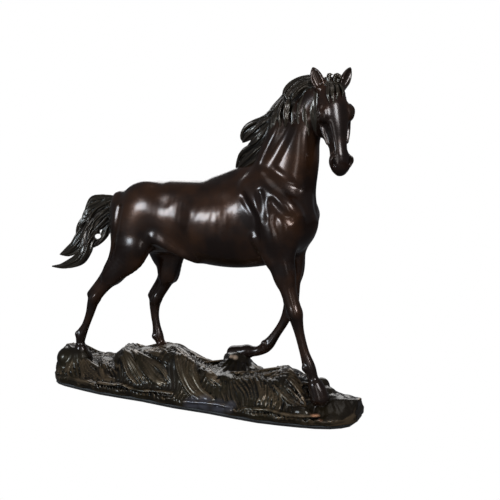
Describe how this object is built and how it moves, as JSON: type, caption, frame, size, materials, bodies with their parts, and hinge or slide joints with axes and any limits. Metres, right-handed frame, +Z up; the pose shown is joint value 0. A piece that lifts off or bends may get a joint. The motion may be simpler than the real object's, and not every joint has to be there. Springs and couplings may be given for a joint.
{
  "type": "horse statuette",
  "caption": "Bronze statuette of a walking horse with its head turned, a wind-blown mane and a lifted tail, on a long rocky base.",
  "frame": {"origin": "middle of the outline on the underside, on the surface that the base rests on", "axes": "+X along the base towards the horse's front, +Y to the horse's left, +Z up"},
  "size_m": [0.226, 0.071, 0.2114],
  "materials": {
    "skin_bronze": "dark brown patina, waxed",
    "hair_bronze": "dark brown patina with olive brown in the grooves",
    "ground_bronze": "dark brown patina with olive brown in the grooves",
    "steel": "zinc plated",
    "felt": "matt"
  },
  "bodies": {
    "root": {"base": "ground_bronze", "felt_pad": "felt", "forelock": "hair_bronze", "head": "skin_bronze", "left_foreleg": "skin_bronze", "left_foreleg_dowel": "steel", "left_foreleg_nut": "steel", "left_foreleg_stud": "steel", "left_foreleg_washer": "steel", "left_hindleg": "skin_bronze", "left_hindleg_dowel": "steel", "left_hindleg_nut": "steel", "left_hindleg_stud": "steel", "left_hindleg_washer": "steel", "mane": "hair_bronze", "neck": "skin_bronze", "right_foreleg": "skin_bronze", "right_foreleg_dowel": "steel", "right_foreleg_nut": "steel", "right_foreleg_stud": "steel", "right_foreleg_washer": "steel", "right_hindleg": "skin_bronze", "right_hindleg_dowel": "steel", "right_hindleg_nut": "steel", "right_hindleg_stud": "steel", "right_hindleg_washer": "steel", "tail": "hair_bronze", "tail_dowel": "steel", "torso": "skin_bronze"}
  },
  "joints": []
}
